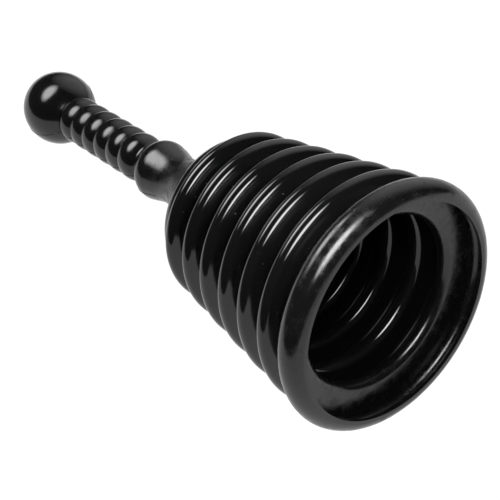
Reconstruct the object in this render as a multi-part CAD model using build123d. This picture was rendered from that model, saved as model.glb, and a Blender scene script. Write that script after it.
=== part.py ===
from build123d import *
import math
import os

# Bellows toilet plunger, standing on its mouth.
# Frame: +Z runs up the handle, and the origin is the centre of the mouth's rest plane.
# Every piece is turned about Z, so outlines are drawn as (radius, height) in millimetres.

# --- driving dimensions -----------------------------------------------------------------
WALL = 2.8                    # wall of the bellows moulding
SHELL_WALL = 2.4              # wall of the hollow handle moulding

MOUTH_DIAMETER = 140.0        # over the rolled rim
RIM_ROLL_RADIUS = 8.6         # section radius of the rolled rim
RIM_LAND_HALF_CHORD = 2.0     # half of the chord that the flat rest land cuts from the roll
LIP_RADIUS = 60.9             # edge of the mouth opening
BEAD_HOLLOW = (62.5, 6.3)     # centre of the hollow inside the rim, whose top is a thick bead
BEAD_HOLLOW_RADIUS = 4.6
RIM_GROOVE = (-9.1, 9.1)      # centre of the groove above the rim, from the centre of its roll

FOLD_COUNT = 6
LOWEST_FOLD_HEIGHT = 30.4
FOLD_PITCH = 19.5
LOWEST_CREST_RADIUS = 66.2
CREST_STEP = 2.86             # each fold is this much smaller in radius than the one below
CREST_ROLL_RADIUS = 4.5
VALLEY_ROLL_RADIUS = 2.0
FOLD_GROOVE = (-10.4, 7.0)    # centre of the groove above a fold, from the centre of its crest

SHOULDER_RADIUS = 45.5        # rounded shoulder of the crown, above the top fold
SHOULDER_ROLL_RADIUS = 9.0
SHOULDER_HEIGHT = 136.5
CROWN_HOLE_RADIUS = 3.3

BASE_RADIUS = 35.5            # foot of the handle, on the crown
FOOT_ROLL_RADIUS = 42.0       # flare of the foot, below the waist's slope
FLARE_ANGLE = 18.0            # of the slope under the waist, from the axis
FLARE_END_HEIGHT = 168.0      # where the slope turns into the foot's flare
WAIST_RADIUS = 15.6
WAIST_HEIGHT = 187.0
WAIST_ROLL_RADIUS = 27.0
BULGE_RADIUS = 19.0
BULGE_HEIGHT = 205.5
BULGE_ROLL_RADIUS = 12.0
NECK_ROLL_RADIUS = 4.0        # hollow between the bulge and the lowest finger ring
RING_COUNT = 6
RING_RADIUS = 15.5
RING_GROOVE_RADIUS = 13.6
RING_PITCH = 14.1
LOWEST_RING_HEIGHT = 229.7
BALL_RADIUS = 24.6

PLUG_FLANGE_RADIUS = 27.0     # welded into the foot of the handle
PLUG_FLANGE_THICKNESS = 4.0
PLUG_HUB_RADIUS = 12.9
PLUG_HUB_TOP = 190.0
PLUG_RIB_COUNT = 6
PLUG_RIB_THICKNESS = 2.0
PLUG_RIB_REACH = 24.0
PLUG_RIB_TOP = 168.0

GASKET_RADIUS = 18.0
GASKET_THICKNESS = 1.5
WASHER_RADIUS = 16.0
WASHER_THICKNESS = 1.6
SCREW_RADIUS = 3.0
SCREW_TIP_HEIGHT = 184.0
SCREW_POINT_LENGTH = 4.0
SCREW_POINT_RADIUS = 1.2
SCREW_HEAD_RADIUS = 6.5
SCREW_HEAD_HEIGHT = 3.8
SCREW_HEAD_SHOULDER = 0.72    # share of the head's radius where its side bulges most
RECESS_WIDTH = 1.3            # cross recess in the screw's head
RECESS_SPAN = 6.5
RECESS_DEPTH = 2.0
HOLE_CLEARANCE = 0.3          # round the screw, in the gasket and the washer

# --- sizes that follow --------------------------------------------------------------------
RIM_CENTRE = (
    MOUTH_DIAMETER / 2 - RIM_ROLL_RADIUS,
    math.sqrt(RIM_ROLL_RADIUS**2 - RIM_LAND_HALF_CHORD**2),
)
SHOULDER_CENTRE = (SHOULDER_RADIUS - SHOULDER_ROLL_RADIUS, SHOULDER_HEIGHT)
CROWN_TOP = SHOULDER_HEIGHT + SHOULDER_ROLL_RADIUS
CROWN_UNDERSIDE = CROWN_TOP - WALL
RING_HALF = RING_PITCH / 2
RING_DEPTH = RING_RADIUS - RING_GROOVE_RADIUS
RING_ROLL_RADIUS = (RING_HALF**2 + RING_DEPTH**2) / (2 * RING_DEPTH)
RING_CENTRE_RADIUS = RING_RADIUS - RING_ROLL_RADIUS
TOP_GROOVE_HEIGHT = LOWEST_RING_HEIGHT + (RING_COUNT - 0.5) * RING_PITCH
BALL_HEIGHT = TOP_GROOVE_HEIGHT + math.sqrt(BALL_RADIUS**2 - RING_GROOVE_RADIUS**2)


# --- outline helpers ----------------------------------------------------------------------
def at(radius, height):
    return Vector(radius, 0, height)


def on_circle(centre, radius, angle):
    """Point of a circle in the outline plane; angle 0 points away from the axis, 90 up."""
    turn = math.radians(angle)
    return at(centre[0] + radius * math.cos(turn), centre[1] + radius * math.sin(turn))


def arc(centre, radius, start, end):
    middle = (start + end) / 2
    return ThreePointArc(
        on_circle(centre, radius, start),
        on_circle(centre, radius, middle),
        on_circle(centre, radius, end),
    )


def turned(edges):
    """Solid of revolution of a closed outline."""
    return revolve(Face(Wire(edges)), axis=Axis.Z)


def heading(start, end):
    return math.degrees(math.atan2(end[1] - start[1], end[0] - start[0]))


def flank_angle(convex, convex_radius, hollow, hollow_radius):
    """Direction of the surface along the straight side between a rounded crest and a hollow."""
    reach = math.hypot(hollow[0] - convex[0], hollow[1] - convex[1])
    opening = math.degrees(math.acos((convex_radius + hollow_radius) / reach))
    angle = heading(convex, hollow)
    return angle - opening if angle > 0 else angle + opening


def circles_meet(first, first_radius, second, second_radius):
    """Outer crossing point of two circles in the outline plane."""
    across = second[0] - first[0]
    up = second[1] - first[1]
    gap = math.hypot(across, up)
    along = (first_radius**2 - second_radius**2 + gap**2) / (2 * gap)
    aside = math.sqrt(first_radius**2 - along**2)
    return (
        first[0] + (along * across - aside * up) / gap,
        first[1] + (along * up + aside * across) / gap,
    )


# --- bellows geometry: fold 1 is next to the handle, fold 6 next to the rim -----------------
def crest_radius(fold):
    return LOWEST_CREST_RADIUS - CREST_STEP * (FOLD_COUNT - fold)


def crest_centre(fold):
    height = LOWEST_FOLD_HEIGHT + FOLD_PITCH * (FOLD_COUNT - fold)
    return (crest_radius(fold) - CREST_ROLL_RADIUS, height)


def valley_centre(fold):
    """Centre of the deep, narrow groove under a fold."""
    if fold == FOLD_COUNT:
        return (RIM_CENTRE[0] + RIM_GROOVE[0], RIM_CENTRE[1] + RIM_GROOVE[1])
    below = crest_centre(fold + 1)
    return (below[0] + FOLD_GROOVE[0], below[1] + FOLD_GROOVE[1])


CROWN_VALLEY_CENTRE = circles_meet(
    SHOULDER_CENTRE,
    SHOULDER_ROLL_RADIUS + VALLEY_ROLL_RADIUS,
    crest_centre(1),
    CREST_ROLL_RADIUS + VALLEY_ROLL_RADIUS,
)


def lower_angle(fold):
    """Where a fold's crest runs into its lower side."""
    return flank_angle(crest_centre(fold), CREST_ROLL_RADIUS, valley_centre(fold), VALLEY_ROLL_RADIUS)


def upper_angle(fold):
    """Where a fold's crest runs into its upper side."""
    if fold == 1:
        return heading(crest_centre(1), CROWN_VALLEY_CENTRE)
    return flank_angle(crest_centre(fold), CREST_ROLL_RADIUS, valley_centre(fold - 1), VALLEY_ROLL_RADIUS)


RIM_ANGLE = flank_angle(RIM_CENTRE, RIM_ROLL_RADIUS, valley_centre(FOLD_COUNT), VALLEY_ROLL_RADIUS)
BEAD_ANGLE = flank_angle(
    BEAD_HOLLOW, BEAD_HOLLOW_RADIUS, valley_centre(FOLD_COUNT), VALLEY_ROLL_RADIUS + WALL
)


def rolled_crest(centre, roll_radius, start, end):
    """Curved wall round a crest, cut square to its surface at both ends."""
    inner = roll_radius - WALL
    return turned([
        arc(centre, roll_radius, start, end),
        Line(on_circle(centre, roll_radius, end), on_circle(centre, inner, end)),
        arc(centre, inner, end, start),
        Line(on_circle(centre, inner, start), on_circle(centre, roll_radius, start)),
    ])


def web(below_outer, below_inner, below_angles, hollow, above):
    """V-shaped wall in round the hollow of a groove, between the walls below and above it.

    The wall below ends in an outer and an inner point, with the direction of its surface at each.
    The wall above is a fold's crest, given as its centre and the direction of its lower side.
    """
    outer = VALLEY_ROLL_RADIUS
    inner = VALLEY_ROLL_RADIUS + WALL
    outer_start = below_angles[0] + 180
    inner_start = below_angles[1] + 180
    crest, above_angle = above
    end = above_angle + 180
    above_outer = on_circle(crest, CREST_ROLL_RADIUS, above_angle)
    above_inner = on_circle(crest, CREST_ROLL_RADIUS - WALL, above_angle)
    return turned([
        Line(below_outer, on_circle(hollow, outer, outer_start)),
        arc(hollow, outer, outer_start, end),
        Line(on_circle(hollow, outer, end), above_outer),
        Line(above_outer, above_inner),
        Line(above_inner, on_circle(hollow, inner, end)),
        arc(hollow, inner, end, inner_start),
        Line(on_circle(hollow, inner, inner_start), below_inner),
        Line(below_inner, below_outer),
    ])


def mouth_rim():
    """Thick rolled rim, hollowed from inside, with a flat land that the plunger stands on."""
    land_angle = math.degrees(math.atan2(-RIM_CENTRE[1], RIM_LAND_HALF_CHORD))
    lip_angle = -90 - math.degrees(math.asin((BEAD_HOLLOW[0] - LIP_RADIUS) / BEAD_HOLLOW_RADIUS))
    land_edge = on_circle(RIM_CENTRE, RIM_ROLL_RADIUS, land_angle)
    outer_end = on_circle(RIM_CENTRE, RIM_ROLL_RADIUS, RIM_ANGLE)
    inner_end = on_circle(BEAD_HOLLOW, BEAD_HOLLOW_RADIUS, BEAD_ANGLE)
    return turned([
        arc(RIM_CENTRE, RIM_ROLL_RADIUS, land_angle, RIM_ANGLE),
        Line(outer_end, inner_end),
        arc(BEAD_HOLLOW, BEAD_HOLLOW_RADIUS, BEAD_ANGLE, lip_angle),
        Line(on_circle(BEAD_HOLLOW, BEAD_HOLLOW_RADIUS, lip_angle), at(LIP_RADIUS, 0)),
        Line(at(LIP_RADIUS, 0), land_edge),
    ])


def bellows_fold(fold):
    return rolled_crest(crest_centre(fold), CREST_ROLL_RADIUS, lower_angle(fold), upper_angle(fold))


def bellows_web(fold):
    """Web under a fold, down to the next fold or to the rim."""
    if fold == FOLD_COUNT:
        below_outer = on_circle(RIM_CENTRE, RIM_ROLL_RADIUS, RIM_ANGLE)
        below_inner = on_circle(BEAD_HOLLOW, BEAD_HOLLOW_RADIUS, BEAD_ANGLE)
        below_angles = (RIM_ANGLE, BEAD_ANGLE)
    else:
        angle = upper_angle(fold + 1)
        below_outer = on_circle(crest_centre(fold + 1), CREST_ROLL_RADIUS, angle)
        below_inner = on_circle(crest_centre(fold + 1), CREST_ROLL_RADIUS - WALL, angle)
        below_angles = (angle, angle)
    above = (crest_centre(fold), lower_angle(fold))
    return web(below_outer, below_inner, below_angles, valley_centre(fold), above)


def crown_web():
    """Flexing shoulder from the top fold in to the flat of the crown."""
    start = upper_angle(1)
    turn = heading(SHOULDER_CENTRE, CROWN_VALLEY_CENTRE)
    return turned([
        arc(CROWN_VALLEY_CENTRE, VALLEY_ROLL_RADIUS, start + 180, turn + 180),
        arc(SHOULDER_CENTRE, SHOULDER_ROLL_RADIUS, turn, 90),
        Line(at(SHOULDER_CENTRE[0], CROWN_TOP), at(SHOULDER_CENTRE[0], CROWN_UNDERSIDE)),
        arc(SHOULDER_CENTRE, SHOULDER_ROLL_RADIUS - WALL, 90, turn),
        arc(CROWN_VALLEY_CENTRE, VALLEY_ROLL_RADIUS + WALL, turn + 180, start + 180),
        Line(
            on_circle(crest_centre(1), CREST_ROLL_RADIUS - WALL, start),
            on_circle(crest_centre(1), CREST_ROLL_RADIUS, start),
        ),
    ])


def disc(radius, hole, bottom, top):
    return turned([
        Line(at(hole, bottom), at(radius, bottom)),
        Line(at(radius, bottom), at(radius, top)),
        Line(at(radius, top), at(hole, top)),
        Line(at(hole, top), at(hole, bottom)),
    ])


# --- handle -------------------------------------------------------------------------------
def handle_side(inset):
    """Side of the handle from the top of its foot to the tip of the ball, moved in by the inset."""
    waist = (WAIST_RADIUS + WAIST_ROLL_RADIUS, WAIST_HEIGHT)
    bulge = (BULGE_RADIUS - BULGE_ROLL_RADIUS, BULGE_HEIGHT)
    lowest_ring = (RING_CENTRE_RADIUS, LOWEST_RING_HEIGHT)
    ball = (0, BALL_HEIGHT)
    waist_radius = WAIST_ROLL_RADIUS + inset
    bulge_radius = BULGE_ROLL_RADIUS - inset
    neck_radius = NECK_ROLL_RADIUS + inset
    ring_radius = RING_ROLL_RADIUS - inset
    ball_radius = BALL_RADIUS - inset

    flare_turn = 180 + FLARE_ANGLE
    foot_roll_radius = FOOT_ROLL_RADIUS + inset
    waist_turn = flank_angle(bulge, BULGE_ROLL_RADIUS, waist, WAIST_ROLL_RADIUS)
    neck = circles_meet(
        lowest_ring, RING_ROLL_RADIUS + NECK_ROLL_RADIUS, bulge, BULGE_ROLL_RADIUS + NECK_ROLL_RADIUS
    )
    bulge_turn = heading(bulge, neck)
    ring_turn = heading(lowest_ring, neck)
    groove_turn = math.degrees(math.asin(RING_HALF / ring_radius))
    groove_radius = RING_CENTRE_RADIUS + ring_radius * math.cos(math.radians(groove_turn))
    ball_turn = math.degrees(math.acos(groove_radius / ball_radius))

    slope = math.radians(FLARE_ANGLE)
    slope_top = on_circle(waist, WAIST_ROLL_RADIUS, flare_turn)
    drop = slope_top.Z - FLARE_END_HEIGHT
    foot_roll = (
        slope_top.X + drop * math.tan(slope) + FOOT_ROLL_RADIUS * math.cos(slope),
        FLARE_END_HEIGHT + FOOT_ROLL_RADIUS * math.sin(slope),
    )
    foot_radius = PLUG_FLANGE_RADIUS if inset else BASE_RADIUS
    foot_turn = 180 + math.degrees(math.acos((foot_roll[0] - foot_radius) / foot_roll_radius))
    edges = [
        arc(foot_roll, foot_roll_radius, foot_turn, flare_turn),
        Line(on_circle(foot_roll, foot_roll_radius, flare_turn), on_circle(waist, waist_radius, flare_turn)),
        arc(waist, waist_radius, flare_turn, waist_turn + 180),
        Line(on_circle(waist, waist_radius, waist_turn + 180), on_circle(bulge, bulge_radius, waist_turn)),
        arc(bulge, bulge_radius, waist_turn, bulge_turn),
        arc(neck, neck_radius, bulge_turn + 180, ring_turn + 180),
        arc(lowest_ring, ring_radius, ring_turn, groove_turn),
    ]
    for ring in range(1, RING_COUNT):
        centre = (RING_CENTRE_RADIUS, LOWEST_RING_HEIGHT + ring * RING_PITCH)
        edges.append(arc(centre, ring_radius, -groove_turn, groove_turn))
    ball_start = on_circle(ball, ball_radius, -ball_turn)
    if inset:
        edges.append(Line(edges[-1] @ 1, ball_start))
    edges.append(arc(ball, ball_radius, -ball_turn, 90))
    return edges


def handle_shell():
    outer = handle_side(0)
    inner = handle_side(SHELL_WALL)
    tip = Line(at(0, BALL_HEIGHT + BALL_RADIUS), at(0, BALL_HEIGHT + BALL_RADIUS - SHELL_WALL))
    return turned([
        Line(at(PLUG_FLANGE_RADIUS, CROWN_TOP), at(BASE_RADIUS, CROWN_TOP)),
        Line(at(BASE_RADIUS, CROWN_TOP), outer[0] @ 0),
        *outer,
        tip,
        *reversed(inner),
        Line(inner[0] @ 0, at(PLUG_FLANGE_RADIUS, CROWN_TOP)),
    ])


def handle_base_plug():
    """Flange and hub welded into the handle's foot, with a blind hole for the screw."""
    flange_top = CROWN_TOP + PLUG_FLANGE_THICKNESS
    body = turned([
        Line(at(SCREW_RADIUS, CROWN_TOP), at(PLUG_FLANGE_RADIUS, CROWN_TOP)),
        Line(at(PLUG_FLANGE_RADIUS, CROWN_TOP), at(PLUG_FLANGE_RADIUS, flange_top)),
        Line(at(PLUG_FLANGE_RADIUS, flange_top), at(PLUG_HUB_RADIUS, flange_top)),
        Line(at(PLUG_HUB_RADIUS, flange_top), at(PLUG_HUB_RADIUS, PLUG_HUB_TOP)),
        Line(at(PLUG_HUB_RADIUS, PLUG_HUB_TOP), at(0, PLUG_HUB_TOP)),
        Line(at(0, PLUG_HUB_TOP), at(0, SCREW_TIP_HEIGHT)),
        Line(at(0, SCREW_TIP_HEIGHT), at(SCREW_RADIUS, SCREW_TIP_HEIGHT)),
        Line(at(SCREW_RADIUS, SCREW_TIP_HEIGHT), at(SCREW_RADIUS, CROWN_TOP)),
    ])
    inside_hub = PLUG_HUB_RADIUS - 1
    inside_flange = flange_top - 1
    rib_outline = Face(Wire([
        Line(at(inside_hub, inside_flange), at(PLUG_RIB_REACH, inside_flange)),
        Line(at(PLUG_RIB_REACH, inside_flange), at(PLUG_RIB_REACH, flange_top)),
        Line(at(PLUG_RIB_REACH, flange_top), at(PLUG_HUB_RADIUS, PLUG_RIB_TOP)),
        Line(at(PLUG_HUB_RADIUS, PLUG_RIB_TOP), at(inside_hub, PLUG_RIB_TOP)),
        Line(at(inside_hub, PLUG_RIB_TOP), at(inside_hub, inside_flange)),
    ]))
    rib = extrude(rib_outline, amount=PLUG_RIB_THICKNESS / 2, dir=(0, 1, 0), both=True)
    for place in range(PLUG_RIB_COUNT):
        body += Rot(0, 0, 360 * place / PLUG_RIB_COUNT) * rib
    return body


# --- fixings under the crown ---------------------------------------------------------------
GASKET_BOTTOM = CROWN_UNDERSIDE - GASKET_THICKNESS
WASHER_BOTTOM = GASKET_BOTTOM - WASHER_THICKNESS


def fixing_screw():
    """Round-headed screw, driven up through the crown into the handle's plug."""
    head_bottom = WASHER_BOTTOM - SCREW_HEAD_HEIGHT
    point_start = SCREW_TIP_HEIGHT - SCREW_POINT_LENGTH
    body = turned([
        ThreePointArc(
            at(0, head_bottom),
            at(
                SCREW_HEAD_RADIUS * SCREW_HEAD_SHOULDER,
                head_bottom + SCREW_HEAD_HEIGHT * (1 - SCREW_HEAD_SHOULDER),
            ),
            at(SCREW_HEAD_RADIUS, WASHER_BOTTOM),
        ),
        Line(at(SCREW_HEAD_RADIUS, WASHER_BOTTOM), at(SCREW_RADIUS, WASHER_BOTTOM)),
        Line(at(SCREW_RADIUS, WASHER_BOTTOM), at(SCREW_RADIUS, point_start)),
        Line(at(SCREW_RADIUS, point_start), at(SCREW_POINT_RADIUS, SCREW_TIP_HEIGHT)),
        Line(at(SCREW_POINT_RADIUS, SCREW_TIP_HEIGHT), at(0, SCREW_TIP_HEIGHT)),
        Line(at(0, SCREW_TIP_HEIGHT), at(0, head_bottom)),
    ])
    slot = Pos(0, 0, head_bottom) * Box(RECESS_SPAN, RECESS_WIDTH, 2 * RECESS_DEPTH)
    return body - slot - Rot(0, 0, 90) * slot


def main():
    pieces = {
        "mouth_rim": mouth_rim(),
        "crown_web": crown_web(),
        "crown_plate": disc(SHOULDER_CENTRE[0], CROWN_HOLE_RADIUS, CROWN_UNDERSIDE, CROWN_TOP),
        "handle_shell": handle_shell(),
        "handle_base_plug": handle_base_plug(),
        "crown_gasket": disc(GASKET_RADIUS, SCREW_RADIUS + HOLE_CLEARANCE, GASKET_BOTTOM, CROWN_UNDERSIDE),
        "clamp_washer": disc(WASHER_RADIUS, SCREW_RADIUS + HOLE_CLEARANCE, WASHER_BOTTOM, GASKET_BOTTOM),
        "fixing_screw": fixing_screw(),
    }
    for fold in range(1, FOLD_COUNT + 1):
        pieces[f"bellows_fold_{fold}"] = bellows_fold(fold)
        pieces[f"bellows_web_{fold}"] = bellows_web(fold)
    os.makedirs("parts", exist_ok=True)
    for name, solid in pieces.items():
        export_step(solid, f"parts/{name}.step")


main()
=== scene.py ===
import math

import bmesh
import bpy
import numpy as np
from mathutils import Matrix, Vector


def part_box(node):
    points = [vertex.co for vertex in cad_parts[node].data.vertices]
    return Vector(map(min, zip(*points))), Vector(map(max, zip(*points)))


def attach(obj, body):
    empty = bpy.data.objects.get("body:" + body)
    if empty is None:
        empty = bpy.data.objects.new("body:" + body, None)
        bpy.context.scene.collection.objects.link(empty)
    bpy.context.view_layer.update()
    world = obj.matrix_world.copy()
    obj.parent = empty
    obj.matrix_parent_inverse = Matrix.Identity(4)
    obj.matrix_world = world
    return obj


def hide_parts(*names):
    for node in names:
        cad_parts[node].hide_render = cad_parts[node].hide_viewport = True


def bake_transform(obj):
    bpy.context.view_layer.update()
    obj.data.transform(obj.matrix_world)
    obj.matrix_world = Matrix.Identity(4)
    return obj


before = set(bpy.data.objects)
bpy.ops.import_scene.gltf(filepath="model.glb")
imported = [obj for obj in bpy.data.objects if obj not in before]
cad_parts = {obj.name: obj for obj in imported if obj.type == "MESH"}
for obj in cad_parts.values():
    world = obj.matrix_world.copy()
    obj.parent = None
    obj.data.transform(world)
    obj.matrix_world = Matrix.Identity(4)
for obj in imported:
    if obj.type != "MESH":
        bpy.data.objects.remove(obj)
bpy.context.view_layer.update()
bpy.context.scene.view_settings.view_transform = "Standard"

# Everything is in metres, in the CAD frame: +Z up the handle, origin on the mouth's rest plane.
MM = 0.001
TURN_STEPS = 192              # facets round every turned piece
ARC_STEP = 7.0                # degrees of outline arc per facet

# --- sizes of the bellows and the handle, as in the CAD model -------------------------------------
WALL = 2.8 * MM
SHELL_WALL = 2.4 * MM
BALL_RADIUS = 24.6 * MM

# Rim: a thick rolled bead round the open mouth, standing on a narrow land.
RIM_ROLL = 8.6 * MM
RIM_LAND_HALF_CHORD = 2.0 * MM
RIM_CREST, _, RIM_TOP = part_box("mouth_rim")[1]
RIM_CENTRE = (RIM_CREST - RIM_ROLL, math.sqrt(RIM_ROLL**2 - RIM_LAND_HALF_CHORD**2))
RIM_GROOVE = (-9.1 * MM, 9.1 * MM)       # centre of the groove above the rim, from the rim's centre
LIP_RADIUS = 60.9 * MM
BEAD_HOLLOW = (62.5 * MM, 6.3 * MM)      # centre of the hollow inside the rim's bead
BEAD_HOLLOW_RADIUS = 4.6 * MM

# Folds, numbered from 1 next to the handle to the lowest, next to the rim.
FOLD_COUNT = 6
FOLD_PITCH = 19.5 * MM
LOWEST_FOLD_HEIGHT = 30.4 * MM
TOP_CREST_RADIUS = 51.9 * MM
CREST_STEP = 2.86 * MM                   # how much wider each fold is than the one above
CREST_ROLL = 4.5 * MM
VALLEY_ROLL = 2.0 * MM
FOLD_GROOVE = (-10.4 * MM, 7.0 * MM)     # centre of the groove above a fold, from its crest's centre

# Crown: flat, with a rounded shoulder and a hole for the screw.
SHOULDER_ROLL = 9.0 * MM
CROWN_HOLE = 3.3 * MM
CROWN_FLAT, _, CROWN_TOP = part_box("crown_plate")[1]
SHOULDER_CENTRE = (CROWN_FLAT, CROWN_TOP - SHOULDER_ROLL)


# --- outline of the bellows -----------------------------------------------------------------------
def crest_centre(fold):
    """Centre of a fold's rolled crest."""
    radius = TOP_CREST_RADIUS + CREST_STEP * (fold - 1)
    height = LOWEST_FOLD_HEIGHT + FOLD_PITCH * (FOLD_COUNT - fold)
    return (radius - CREST_ROLL, height)


def valley_centre(fold):
    """Centre of the groove that runs round under a fold."""
    if fold == FOLD_COUNT:
        return (RIM_CENTRE[0] + RIM_GROOVE[0], RIM_CENTRE[1] + RIM_GROOVE[1])
    below = crest_centre(fold + 1)
    return (below[0] + FOLD_GROOVE[0], below[1] + FOLD_GROOVE[1])


def heading(start, end):
    """Direction from one place of the outline to another, in degrees from outwards to up."""
    return math.degrees(math.atan2(end[1] - start[1], end[0] - start[0]))


def flank_angle(convex, convex_radius, hollow, hollow_radius):
    """Direction of the surface along the straight side between a rounded crest and a hollow."""
    reach = math.hypot(hollow[0] - convex[0], hollow[1] - convex[1])
    opening = math.degrees(math.acos(min(1.0, (convex_radius + hollow_radius) / reach)))
    angle = heading(convex, hollow)
    return angle - opening if angle > 0 else angle + opening


def circles_meet(first, first_radius, second, second_radius):
    """Outer crossing point of two circles of the outline."""
    across, up = second[0] - first[0], second[1] - first[1]
    gap = math.hypot(across, up)
    along = (first_radius**2 - second_radius**2 + gap**2) / (2 * gap)
    aside = math.sqrt(first_radius**2 - along**2)
    return (
        first[0] + (along * across - aside * up) / gap,
        first[1] + (along * up + aside * across) / gap,
    )


class Outline:
    """Outline of a turned surface, sampled as (radius, height) with its outward direction."""

    def __init__(self):
        self.points = []
        self.normals = []
        self.marks = {}

    def add(self, radius, height, angle):
        """Add a place whose surface faces along the angle."""
        turn = math.radians(angle)
        self.points.append((radius, height))
        self.normals.append((math.cos(turn), math.sin(turn)))

    def arc(self, centre, radius, start, end, inset=0.0, hollow=False, include_start=True):
        """Arc round a crest, or round a hollow, whose centre lies outside the wall."""
        size = radius + inset if hollow else radius - inset
        steps = max(2, math.ceil(abs(end - start) / ARC_STEP))
        for step in range(0 if include_start else 1, steps + 1):
            angle = start + (end - start) * step / steps
            turn = math.radians(angle)
            outward = angle + 180 if hollow else angle
            self.add(centre[0] + size * math.cos(turn), centre[1] + size * math.sin(turn), outward)

    def straight(self, end_radius, end_height, angle, pieces=3):
        """Straight run towards a place, leaving that place itself to what comes next."""
        start_radius, start_height = self.points[-1]
        for step in range(1, pieces):
            share = step / pieces
            self.add(
                start_radius + (end_radius - start_radius) * share,
                start_height + (end_height - start_height) * share,
                angle,
            )

    def mark(self, name):
        """Name the latest place, as somewhere to cut the outline."""
        self.marks[name] = len(self.points) - 1


def polar(centre, radius, angle):
    """Place on a circle of the outline."""
    turn = math.radians(angle)
    return (centre[0] + radius * math.cos(turn), centre[1] + radius * math.sin(turn))


def bellows_outline(inset):
    """Bellows from the lip of the mouth to the hole in the crown, moved in by the inset."""
    line = Outline()
    valley = valley_centre(FOLD_COUNT)
    if inset:
        lip_angle = -90 - math.degrees(math.asin((BEAD_HOLLOW[0] - LIP_RADIUS) / BEAD_HOLLOW_RADIUS))
        angle = flank_angle(BEAD_HOLLOW, BEAD_HOLLOW_RADIUS, valley, VALLEY_ROLL + inset)
        line.arc(BEAD_HOLLOW, BEAD_HOLLOW_RADIUS, lip_angle, angle)
    else:
        land_angle = math.degrees(math.atan2(-RIM_CENTRE[1], RIM_LAND_HALF_CHORD))
        land_edge = polar(RIM_CENTRE, RIM_ROLL, land_angle)
        angle = flank_angle(RIM_CENTRE, RIM_ROLL, valley, VALLEY_ROLL)
        land_width = land_edge[0] - LIP_RADIUS
        line.add(LIP_RADIUS, 0, -90)
        line.add(LIP_RADIUS + 0.35 * land_width, 0, -90)
        line.add(LIP_RADIUS + 0.75 * land_width, 0, -88)
        line.arc(RIM_CENTRE, RIM_ROLL, land_angle, angle)
    for fold in range(FOLD_COUNT, 0, -1):
        crest = crest_centre(fold)
        valley = valley_centre(fold)
        rise = flank_angle(crest, CREST_ROLL, valley, VALLEY_ROLL)
        line.straight(*polar(valley, VALLEY_ROLL + inset, angle + 180), angle)
        line.arc(valley, VALLEY_ROLL, angle + 180, rise + 180, inset, hollow=True)
        line.straight(*polar(crest, CREST_ROLL - inset, rise), rise)
        line.arc(crest, CREST_ROLL, rise, 0, inset)
        line.mark(f"crest_{fold}")
        if fold > 1:
            angle = flank_angle(crest, CREST_ROLL, valley_centre(fold - 1), VALLEY_ROLL)
        else:
            shoulder_valley = circles_meet(
                SHOULDER_CENTRE, SHOULDER_ROLL + VALLEY_ROLL, crest, CREST_ROLL + VALLEY_ROLL
            )
            angle = heading(crest, shoulder_valley)
        line.arc(crest, CREST_ROLL, 0, angle, inset, include_start=False)
    turn = heading(SHOULDER_CENTRE, shoulder_valley)
    line.arc(shoulder_valley, VALLEY_ROLL, angle + 180, turn + 180, inset, True, include_start=False)
    line.arc(SHOULDER_CENTRE, SHOULDER_ROLL, turn, 90, inset, include_start=False)
    line.straight(CROWN_HOLE, CROWN_TOP - inset, 90, pieces=12)
    line.add(CROWN_HOLE, CROWN_TOP - inset, 90)
    return line


# --- turning outlines into meshes -----------------------------------------------------------------
def turned(pairs):
    """Pairs of (outward, up) turned about Z, as rows x facets x 3."""
    pairs = np.array(pairs)
    angles = np.linspace(0, 2 * math.pi, TURN_STEPS, endpoint=False)
    outward, up = pairs[:, :1], pairs[:, 1:]
    heights = np.repeat(up, TURN_STEPS, axis=1)
    return np.stack([outward * np.cos(angles), outward * np.sin(angles), heights], axis=-1)


def new_object(name, vertices, faces, material):
    """Object made of the given vertices and faces, in one material."""
    mesh = bpy.data.meshes.new(name)
    mesh.from_pydata([tuple(v) for v in vertices], [], faces)
    mesh.materials.append(material)
    mesh.update()
    obj = bpy.data.objects.new(name, mesh)
    bpy.context.scene.collection.objects.link(obj)
    return obj


def closed_band(name, rows, normals, sharp_rows, plain, hollow_shade, hollow_shade_rows):
    """Closed ring of rows, each a loop round Z, with given normals and sharp corner rows.

    The faces that start at the shaded rows have the hollow-shade material, a copy whose reflection is
    turned down as painted shade, and the others the plain one.
    """
    count = len(rows)
    vertices = rows.reshape(-1, 3)
    faces = []
    corner_normals = []
    flat = normals.reshape(-1, 3)
    for row in range(count):
        after = (row + 1) % count
        cap = (row, after) in sharp_rows
        for step in range(TURN_STEPS):
            other = (step + 1) % TURN_STEPS
            a, b = row * TURN_STEPS + step, row * TURN_STEPS + other
            c, d = after * TURN_STEPS + other, after * TURN_STEPS + step
            faces.append((a, b, c, d))
            if cap:
                corner_normals += [None] * 4
            else:
                corner_normals += [flat[a], flat[b], flat[c], flat[d]]
    obj = new_object(name, vertices, faces, plain)
    mesh = obj.data
    mesh.materials.append(hollow_shade)
    mesh.polygons.foreach_set("use_smooth", [True] * len(mesh.polygons))
    mesh.polygons.foreach_set("material_index", [
        int(face // TURN_STEPS in hollow_shade_rows) for face in range(len(mesh.polygons))
    ])
    face_normal = np.zeros(len(mesh.polygons) * 3)
    mesh.polygons.foreach_get("normal", face_normal)
    face_normal = face_normal.reshape(-1, 3)
    for index, normal in enumerate(corner_normals):
        if normal is None:
            corner_normals[index] = face_normal[index // 4]
    mesh.normals_split_custom_set([tuple(n) for n in corner_normals])
    return obj


# --- materials ------------------------------------------------------------------------------------
def material(name):
    """New material, with its nodes, their links and its shader."""
    made = bpy.data.materials.new(name)
    made.use_nodes = True
    nodes = made.node_tree.nodes
    shader = nodes["Principled BSDF"]
    return made, nodes, made.node_tree.links, shader


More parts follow.
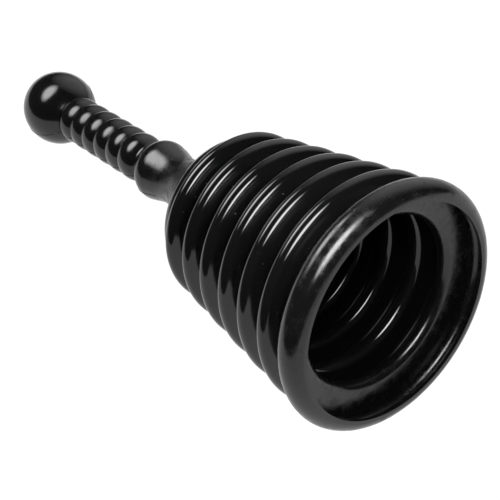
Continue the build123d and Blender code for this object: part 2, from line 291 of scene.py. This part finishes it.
def noise(nodes, links, scale, detail, stretch=(1, 1, 1), roughness=0.5):
    """Noise over the object's own coordinates, in metres, stretched along an axis if asked."""
    place = nodes.new("ShaderNodeTexCoord")
    mapping = nodes.new("ShaderNodeMapping")
    mapping.inputs["Scale"].default_value = stretch
    texture = nodes.new("ShaderNodeTexNoise")
    texture.inputs["Scale"].default_value = scale
    texture.inputs["Detail"].default_value = detail
    texture.inputs["Roughness"].default_value = roughness
    links.new(place.outputs["Object"], mapping.inputs["Vector"])
    links.new(mapping.outputs["Vector"], texture.inputs["Vector"])
    return texture.outputs["Fac"]


def ramp(nodes, links, source, low, high, low_value, high_value):
    """Pattern spread between two values as it goes from low to high, and held past them."""
    spread = nodes.new("ShaderNodeMapRange")
    spread.inputs["From Min"].default_value = low
    spread.inputs["From Max"].default_value = high
    spread.inputs["To Min"].default_value = low_value
    spread.inputs["To Max"].default_value = high_value
    links.new(source, spread.inputs["Value"])
    return spread.outputs["Result"]


def math_node(nodes, links, kind, first, second):
    """Sum, product or other result of two numbers or patterns."""
    made = nodes.new("ShaderNodeMath")
    made.operation = kind
    for socket, value in zip(made.inputs, (first, second)):
        if isinstance(value, (int, float)):
            socket.default_value = value
        else:
            links.new(value, socket)
    return made.outputs["Value"]


def bump(nodes, links, height, distance, strength=1.0, below=None):
    """Relief from a pattern, as deep as the distance, laid over the relief below it."""
    made = nodes.new("ShaderNodeBump")
    made.inputs["Distance"].default_value = distance
    made.inputs["Strength"].default_value = strength
    links.new(height, made.inputs["Height"])
    if below is not None:
        links.new(below, made.inputs["Normal"])
    return made.outputs["Normal"]


def height_mask(nodes, links, full, none):
    """1 at the height full, fading to 0 at the height none."""
    place = nodes.new("ShaderNodeTexCoord")
    split = nodes.new("ShaderNodeSeparateXYZ")
    links.new(place.outputs["Object"], split.inputs["Vector"])
    return ramp(nodes, links, split.outputs["Z"], min(full, none), max(full, none),
                float(full < none), float(full > none))


def turned_place(nodes, links):
    """Place on the object as its coordinates one by one, and its distance from Z."""
    place = nodes.new("ShaderNodeTexCoord")
    split = nodes.new("ShaderNodeSeparateXYZ")
    links.new(place.outputs["Object"], split.inputs["Vector"])
    x_square = math_node(nodes, links, "MULTIPLY", split.outputs["X"], split.outputs["X"])
    y_square = math_node(nodes, links, "MULTIPLY", split.outputs["Y"], split.outputs["Y"])
    radius = math_node(nodes, links, "SQRT", math_node(nodes, links, "ADD", x_square, y_square), 0.0)
    return split, radius


def scratches(nodes, links, scale):
    """Streaks that run round Z, from noise over angle, radius and height."""
    split, radius = turned_place(nodes, links)
    angle = math_node(nodes, links, "ARCTAN2", split.outputs["Y"], split.outputs["X"])
    polar_place = nodes.new("ShaderNodeCombineXYZ")
    links.new(math_node(nodes, links, "MULTIPLY", angle, 0.006), polar_place.inputs["X"])
    links.new(radius, polar_place.inputs["Y"])
    links.new(split.outputs["Z"], polar_place.inputs["Z"])
    texture = nodes.new("ShaderNodeTexNoise")
    texture.inputs["Scale"].default_value = scale
    texture.inputs["Detail"].default_value = 6.0
    texture.inputs["Roughness"].default_value = 0.7
    links.new(polar_place.outputs["Vector"], texture.inputs["Vector"])
    return texture.outputs["Fac"]


def black_plastic(name, gloss, ripple, satin, satin_full, satin_none, scuff, specular=0.5):
    """Glossy black moulded plastic, satin and scuffed towards one height, with faint ripples and dust."""
    made, nodes, links, shader = material(name)

    # Patterns from 0 to 1, broad to fine; the smudge is kept faint.
    smudge = ramp(nodes, links, noise(nodes, links, 42.0, 4.0), 0.35, 0.75, 0.0, 0.06)
    handled = ramp(nodes, links, noise(nodes, links, 170.0, 5.0, roughness=0.65), 0.42, 0.68, 0.3, 1.0)
    streaks = ramp(nodes, links, scratches(nodes, links, 1500.0), 0.56, 0.70, 0.0, 1.0)
    speck = noise(nodes, links, 620.0, 2.0, roughness=0.4)
    specks = ramp(nodes, links, speck, 0.74, 0.79, 0.0, 1.0)

    # Wear and streaks only in the satin zone.
    zone = height_mask(nodes, links, satin_full, satin_none)
    worn = math_node(nodes, links, "MULTIPLY", zone, handled)
    scratched = math_node(nodes, links, "MULTIPLY", worn, streaks)

    # Roughness: the gloss of the moulding, made duller by each kind of mark.
    polish = math_node(nodes, links, "ADD", smudge, gloss)
    satiny = math_node(nodes, links, "ADD", polish, math_node(nodes, links, "MULTIPLY", worn, satin))
    scuffed = math_node(nodes, links, "ADD", satiny, math_node(nodes, links, "MULTIPLY", scratched, scuff))
    rough = math_node(nodes, links, "ADD", scuffed, math_node(nodes, links, "MULTIPLY", specks, 0.2))
    links.new(rough, shader.inputs["Roughness"])

    # Colour: black, greyer in the scuffs and specks.
    tone = nodes.new("ShaderNodeMix")
    tone.data_type = "RGBA"
    tone.inputs["A"].default_value = (0.0040, 0.0040, 0.0042, 1)
    tone.inputs["B"].default_value = (0.0200, 0.0200, 0.0205, 1)
    scuff_marks = math_node(nodes, links, "MULTIPLY", scratched, scuff)
    marks = math_node(nodes, links, "MAXIMUM", scuff_marks, specks)
    links.new(marks, tone.inputs["Factor"])
    links.new(tone.outputs["Result"], shader.inputs["Base Color"])
    shader.inputs["IOR"].default_value = 1.52
    shader.inputs["Specular IOR Level"].default_value = specular

    # Relief: ripples of the moulding, its grain, the scuffs and the dust.
    rippled = bump(nodes, links, noise(nodes, links, 75.0, 2.0), ripple)
    grained = bump(nodes, links, noise(nodes, links, 900.0, 3.0), 0.012 * MM, below=rippled)
    scored = bump(nodes, links, scratched, 0.02 * MM, strength=0.6, below=grained)
    dusted = bump(nodes, links, specks, 0.04 * MM, strength=0.5, below=scored)
    links.new(dusted, shader.inputs["Normal"])
    return made


def matte_plastic(name):
    """Black plastic with an even fine grain."""
    made, nodes, links, shader = material(name)
    grain = noise(nodes, links, 600.0, 5.0)
    links.new(ramp(nodes, links, grain, 0.3, 0.7, 0.5, 0.65), shader.inputs["Roughness"])
    shader.inputs["Base Color"].default_value = (0.02, 0.02, 0.02, 1)
    links.new(bump(nodes, links, grain, 0.08 * MM), shader.inputs["Normal"])
    return made


def gasket_rubber(name):
    """Dull black rubber, greyed by dust in patches."""
    made, nodes, links, shader = material(name)
    grain = noise(nodes, links, 1400.0, 4.0)
    dust = noise(nodes, links, 120.0, 5.0)
    tone = nodes.new("ShaderNodeMix")
    tone.data_type = "RGBA"
    tone.inputs["A"].default_value = (0.03, 0.03, 0.03, 1)
    tone.inputs["B"].default_value = (0.075, 0.073, 0.07, 1)
    links.new(ramp(nodes, links, dust, 0.45, 0.7, 0, 1), tone.inputs["Factor"])
    links.new(tone.outputs["Result"], shader.inputs["Base Color"])
    shader.inputs["Roughness"].default_value = 0.75
    links.new(bump(nodes, links, grain, 0.06 * MM), shader.inputs["Normal"])
    return made


def stainless(name, turned_marks):
    """Stainless steel, with turning marks round Z or plain rolled grain."""
    made, nodes, links, shader = material(name)
    shader.inputs["Metallic"].default_value = 1.0
    shader.inputs["Base Color"].default_value = (0.56, 0.56, 0.55, 1)
    stretch = (1, 1, 12) if turned_marks else (14, 1, 1)
    grain = noise(nodes, links, 380.0, 6.0, stretch=stretch, roughness=0.6)
    links.new(ramp(nodes, links, grain, 0.3, 0.7, 0.24, 0.42), shader.inputs["Roughness"])
    links.new(bump(nodes, links, grain, 0.03 * MM), shader.inputs["Normal"])
    return made


HANDLE_GLOSS = black_plastic(
    "handle_gloss_black", gloss=0.13, ripple=0.10 * MM,
    satin=0.30, satin_full=0.184, satin_none=0.214, scuff=0.10,
)
BELLOWS_FINISH = dict(
    gloss=0.07, ripple=0.10 * MM, satin=0.24, satin_full=0.013, satin_none=0.022, scuff=0.40
)
BELLOWS_GLOSS = black_plastic("bellows_gloss_black", **BELLOWS_FINISH)
# Copy of the bellows plastic with its reflection turned down, used as painted shade in the hollows inside.
BELLOWS_HOLLOW_SHADE = black_plastic("bellows_hollow_shade_black", **BELLOWS_FINISH, specular=0.06)


# --- bellows --------------------------------------------------------------------------------------
SHADE_DEPTH = 4.0 * MM         # how far in from the line of the crests the painted shade in the hollows inside starts
SHADE_CLEARANCE = 5.5 * MM     # how far above the rim the painted shade starts


def in_hollow(radius, height):
    """Whether a place on the inner surface is in the hollow behind a crest, where the painted shade goes.
    """
    lowest = crest_centre(FOLD_COUNT)
    crest_line = lowest[0] - (height - lowest[1]) * CREST_STEP / FOLD_PITCH
    return radius > crest_line - SHADE_DEPTH and height > RIM_TOP + SHADE_CLEARANCE


def make_bellows():
    """Bellows as seven pieces of one wall, cut at the crests."""
    outer = bellows_outline(0.0)
    inner = bellows_outline(WALL)
    outer_grid, outer_normal = turned(outer.points), turned(outer.normals)
    inner_grid, inner_normal = turned(inner.points), turned(inner.normals)

    def piece(name, start, end, nodes):
        """Wall between two marks of the outline; None stands for the outline's own end."""
        def cut(line, mark, last):
            return line.marks[mark] if mark else last
        a, b = cut(outer, start, 0), cut(outer, end, len(outer.points) - 1)
        c, d = cut(inner, start, 0), cut(inner, end, len(inner.points) - 1)
        rows = np.concatenate([outer_grid[a:b + 1], inner_grid[c:d + 1][::-1]])
        normals = np.concatenate([outer_normal[a:b + 1], -inner_normal[c:d + 1][::-1]])
        caps = {(b - a, b - a + 1), (len(rows) - 1, 0)}
        section = rows[:, 0]
        hollow = [in_hollow(x, z) for x, _, z in (section[:-1] + section[1:]) / 2]
        # Faces in the hollows inside get the copy with its reflection turned down, as painted shade.
        hollow_shade_rows = {row for row in range(b - a + 1, len(rows) - 1) if hollow[row]}
        obj = closed_band(name, rows, normals, caps, BELLOWS_GLOSS, BELLOWS_HOLLOW_SHADE, hollow_shade_rows)
        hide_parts(*nodes)
        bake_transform(obj)

    piece(
        "bellows_mouth", None, f"crest_{FOLD_COUNT}", ["mouth_rim", f"bellows_web_{FOLD_COUNT}"],
    )
    for fold in range(FOLD_COUNT, 1, -1):
        piece(
            f"bellows_gather_{fold}", f"crest_{fold}", f"crest_{fold - 1}",
            [f"bellows_fold_{fold}", f"bellows_web_{fold - 1}"],
        )
    piece(
        "bellows_crown", "crest_1", None, ["bellows_fold_1", "crown_web", "crown_plate"],
    )


make_bellows()


# --- handle and fixings ---------------------------------------------------------------------------
FIXING_MATERIALS = {
    "handle_shell": HANDLE_GLOSS,
    "handle_base_plug": matte_plastic("plug_matt_black"),
    "crown_gasket": gasket_rubber("gasket_rubber"),
    "clamp_washer": stainless("washer_stainless", turned_marks=False),
    "fixing_screw": stainless("screw_stainless", turned_marks=True),
}
for node, finish in FIXING_MATERIALS.items():
    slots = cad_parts[node].material_slots
    for index in range(len(slots)):
        slots[index].material = finish


SEAM_AZIMUTH = math.radians(18)
SEAM_HALF_WIDTH = 0.35 * MM
SEAM_PROUD = 0.22 * MM
SEAM_ROOT = 0.10 * MM         # how deep the seam's sides start under the surface
SAME_HEIGHT = 0.6 * MM        # how near two points of the outline are in height to be compared


def handle_outline():
    """Outer outline of the handle in the plane y = 0, from its foot up, as (radius, height)."""
    shape = bmesh.new()
    shape.from_mesh(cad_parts["handle_shell"].data)
    geometry = list(shape.verts) + list(shape.edges) + list(shape.faces)
    cut = bmesh.ops.bisect_plane(shape, geom=geometry, plane_co=(0, 0, 0), plane_no=(0, 1, 0))
    found = {(round(v.co.x, 6), round(v.co.z, 6)) for v in cut["geom_cut"]
             if isinstance(v, bmesh.types.BMVert) and v.co.x >= 0}
    shape.free()
    centre = Vector((0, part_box("handle_shell")[1].z - BALL_RADIUS))
    outer = []
    for radius, height in sorted(found, key=lambda point: point[1]):
        on_ball = height > centre.y and (Vector((radius, height)) - centre).length > BALL_RADIUS - SEAM_ROOT
        rivals = [r for r, h in found if abs(h - height) < SAME_HEIGHT]
        if on_ball or (height <= centre.y and radius > max(rivals) - SHELL_WALL / 2):
            outer.append(Vector((radius, height)))
    return outer


def make_seam():
    """Moulding seam that runs up both sides of the handle and over the ball."""
    side = handle_outline()
    path = [(p.x, p.y) for p in side] + [(-p.x, p.y) for p in reversed(side) if p.x > 0]
    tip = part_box("handle_shell")[1].z
    vertices, faces = [], []
    for index, (x, z) in enumerate(path):
        before, after = path[max(index - 1, 0)], path[min(index + 1, len(path) - 1)]
        along = Vector((after[0] - before[0], after[1] - before[1])).normalized()
        out = Vector((along.y, -along.x))
        here = Vector((x, z))
        root, top = here - out * SEAM_ROOT, here + out * min(SEAM_PROUD, tip - z)
        vertices += [
            (root.x, -SEAM_HALF_WIDTH, root.y), (top.x, 0, top.y), (root.x, SEAM_HALF_WIDTH, root.y)
        ]
    rings = len(path)
    for index in range(rings - 1):
        base = 3 * index
        for corner in range(3):
            nearby = (corner + 1) % 3
            faces.append((base + corner, base + nearby, base + 3 + nearby, base + 3 + corner))
    faces += [(2, 1, 0), (3 * rings - 3, 3 * rings - 2, 3 * rings - 1)]
    seam = new_object("handle_seam", vertices, faces, HANDLE_GLOSS)
    seam.data.transform(Matrix.Rotation(SEAM_AZIMUTH, 4, "Z"))
    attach(seam, "handle")


make_seam()


# --- studio ---------------------------------------------------------------------------------------
CAMERA_PLACE = Vector((0, -0.4999, -0.3453))
CAMERA_ELEVATION = 42.26      # degrees that the camera looks up, into the mouth
CAMERA_HEADING = -1.46        # degrees that it looks to the right of +Y
CAMERA_ROLL = 57.67
LENS = 86.4                   # mm on a 36 mm sensor


def add_camera():
    """Camera at the picture's viewpoint, below the mouth and turned so that the ball is at the top left."""
    data = bpy.data.cameras.new("camera")
    data.lens = LENS
    data.sensor_width = 36
    data.clip_start = 0.01
    camera = bpy.data.objects.new("camera", data)
    bpy.context.scene.collection.objects.link(camera)
    heading_turn = Matrix.Rotation(math.radians(-CAMERA_HEADING), 4, "Z")
    tilt = Matrix.Rotation(math.radians(90 + CAMERA_ELEVATION), 4, "X")
    roll = Matrix.Rotation(math.radians(-CAMERA_ROLL), 4, "Z")
    camera.matrix_world = Matrix.Translation(CAMERA_PLACE) @ heading_turn @ tilt @ roll
    bpy.context.scene.camera = camera


add_camera()


def glow(name, brightness, soft_edge):
    """Light-giving surface, fading towards its edge by the soft share of its half size."""
    made, nodes, links, shader = material(name)
    shader.inputs["Base Color"].default_value = (0, 0, 0, 1)
    shader.inputs["Roughness"].default_value = 1.0
    shader.inputs["Specular IOR Level"].default_value = 0.0
    shader.inputs["Emission Color"].default_value = (1, 1, 1, 1)
    shader.inputs["Emission Strength"].default_value = brightness
    if soft_edge:
        place = nodes.new("ShaderNodeTexCoord")
        falloff = nodes.new("ShaderNodeTexGradient")
        falloff.gradient_type = "SPHERICAL"
        links.new(place.outputs["Object"], falloff.inputs["Vector"])
        faded = ramp(nodes, links, falloff.outputs["Fac"], 0, soft_edge, 0, brightness)
        links.new(faded, shader.inputs["Emission Strength"])
    return made


def card(name, centre, normal, width, height, brightness, soft_edge=0):
    """Glowing card that the camera doesn't see, facing along its normal."""
    mesh = bpy.data.meshes.new(name)
    mesh.from_pydata([(-1, -1, 0), (1, -1, 0), (1, 1, 0), (-1, 1, 0)], [], [(0, 1, 2, 3)])
    mesh.materials.append(glow(name, brightness, soft_edge))
    obj = bpy.data.objects.new(name, mesh)
    bpy.context.scene.collection.objects.link(obj)
    turn = Vector(normal).to_track_quat("Z", "Y").to_matrix().to_4x4()
    size = Matrix.Diagonal((width / 2, height / 2, 1, 1))
    obj.matrix_world = Matrix.Translation(centre) @ turn @ size
    obj.visible_camera = False
    obj.visible_shadow = False
    return obj


# Soft lights placed by their reflections: a window-like key above and beside the camera, a small
# one under it that shows on the bellows, and a large dim wall on the far side.
MIDDLE = Vector((0, 0, 0.18))
KEY_PLACE = Vector((0.142, -0.402, 0.357))
LOW_PLACE = Vector((0.07, -0.216, -0.10))
FILL_PLACE = Vector((1.4, 0.1, 0.5))
card("key_softbox", KEY_PLACE, MIDDLE - KEY_PLACE, 0.52, 0.29, 9.0, soft_edge=0.5)
card("low_softbox", LOW_PLACE, MIDDLE - LOW_PLACE, 0.25, 0.13, 18.0, soft_edge=0.45)
right_wall = card("right_wall", FILL_PLACE, MIDDLE - FILL_PLACE, 3.2, 2.8, 0.85, soft_edge=0.7)
right_wall.visible_diffuse = False


TABLE_AZIMUTH = math.radians(131)
TABLE_SIZE = 6.0
TABLE_GAP = 22 * MM          # leaves room for the handle to tilt
TABLE_SHIFT = 2.70            # how far the table's middle lies from the plunger, to one side


def add_table():
    """Bright table that the plunger would lie on, along its rim and its ball."""
    ball_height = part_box("handle_shell")[1].z - BALL_RADIUS
    lean = math.atan2(RIM_CREST - BALL_RADIUS, ball_height - RIM_CENTRE[1])
    cos, sin = math.cos(TABLE_AZIMUTH), math.sin(TABLE_AZIMUTH)
    outward = Vector((cos * math.cos(lean), sin * math.cos(lean), math.sin(lean)))
    touch = Vector((cos * RIM_CREST, sin * RIM_CREST, RIM_CENTRE[1]))
    sideways = Vector((sin, -cos, 0))
    middle = touch + outward * TABLE_GAP + sideways * TABLE_SHIFT
    table = card("table_card", middle, -outward, TABLE_SIZE, TABLE_SIZE, 0.92)
    table.visible_diffuse = False


add_table()

# Soft light from above for the floor, kept out of the gloss.
ceiling = card("ceiling", Vector((0, 0, 4)), Vector((0, 0, -1)), 12.0, 12.0, 1.0)
ceiling.visible_glossy = False


FLOOR_SIZE = 14.0
FLOOR_GAP = 0.4 * MM          # keeps the floor clear of the rim's land


def add_floor():
    """Pale floor under the standing plunger, clear when seen from below."""
    made, nodes, links, shader = material("floor_pale")
    shader.inputs["Base Color"].default_value = (0.5, 0.5, 0.5, 1)
    shader.inputs["Roughness"].default_value = 0.6
    shader.inputs["Emission Color"].default_value = (1, 1, 1, 1)
    shader.inputs["Emission Strength"].default_value = 0.62
    clear = nodes.new("ShaderNodeBsdfTransparent")
    side = nodes.new("ShaderNodeNewGeometry")
    mix = nodes.new("ShaderNodeMixShader")
    links.new(side.outputs["Backfacing"], mix.inputs["Fac"])
    links.new(shader.outputs["BSDF"], mix.inputs[1])
    links.new(clear.outputs["BSDF"], mix.inputs[2])
    links.new(mix.outputs["Shader"], nodes["Material Output"].inputs["Surface"])
    mesh = bpy.data.meshes.new("floor")
    half = FLOOR_SIZE / 2
    corners = [(-half, -half, 0), (half, -half, 0), (half, half, 0), (-half, half, 0)]
    mesh.from_pydata(corners, [], [(0, 1, 2, 3)])
    mesh.materials.append(made)
    floor = bpy.data.objects.new("floor", mesh)
    bpy.context.scene.collection.objects.link(floor)
    floor.location.z = -FLOOR_GAP
    floor.visible_glossy = False
    floor.visible_diffuse = False
    floor.visible_shadow = False


add_floor()


BACKDROP_RADIUS = 8.0


def add_surroundings():
    """White backdrop for the camera, in a dim room for the gloss."""
    world = bpy.data.worlds.new("studio")
    bpy.context.scene.world = world
    world.use_nodes = True
    nodes, links = world.node_tree.nodes, world.node_tree.links
    room = nodes["Background"]
    room.inputs["Color"].default_value = (1, 1, 1, 1)
    room.inputs["Strength"].default_value = 0.04
    mesh = bpy.data.meshes.new("backdrop")
    shape = bmesh.new()
    bmesh.ops.create_uvsphere(shape, u_segments=48, v_segments=24, radius=BACKDROP_RADIUS)
    shape.to_mesh(mesh)
    shape.free()
    backdrop = bpy.data.objects.new("backdrop", mesh)
    bpy.context.scene.collection.objects.link(backdrop)
    made, nodes, links, shader = material("backdrop_white")
    shader.inputs["Base Color"].default_value = (0, 0, 0, 1)
    shader.inputs["Emission Color"].default_value = (1, 1, 1, 1)
    shader.inputs["Emission Strength"].default_value = 1.05
    mesh.materials.append(made)
    backdrop.visible_glossy = False
    backdrop.visible_diffuse = False
    backdrop.visible_shadow = False
    backdrop.visible_transmission = False


add_surroundings()
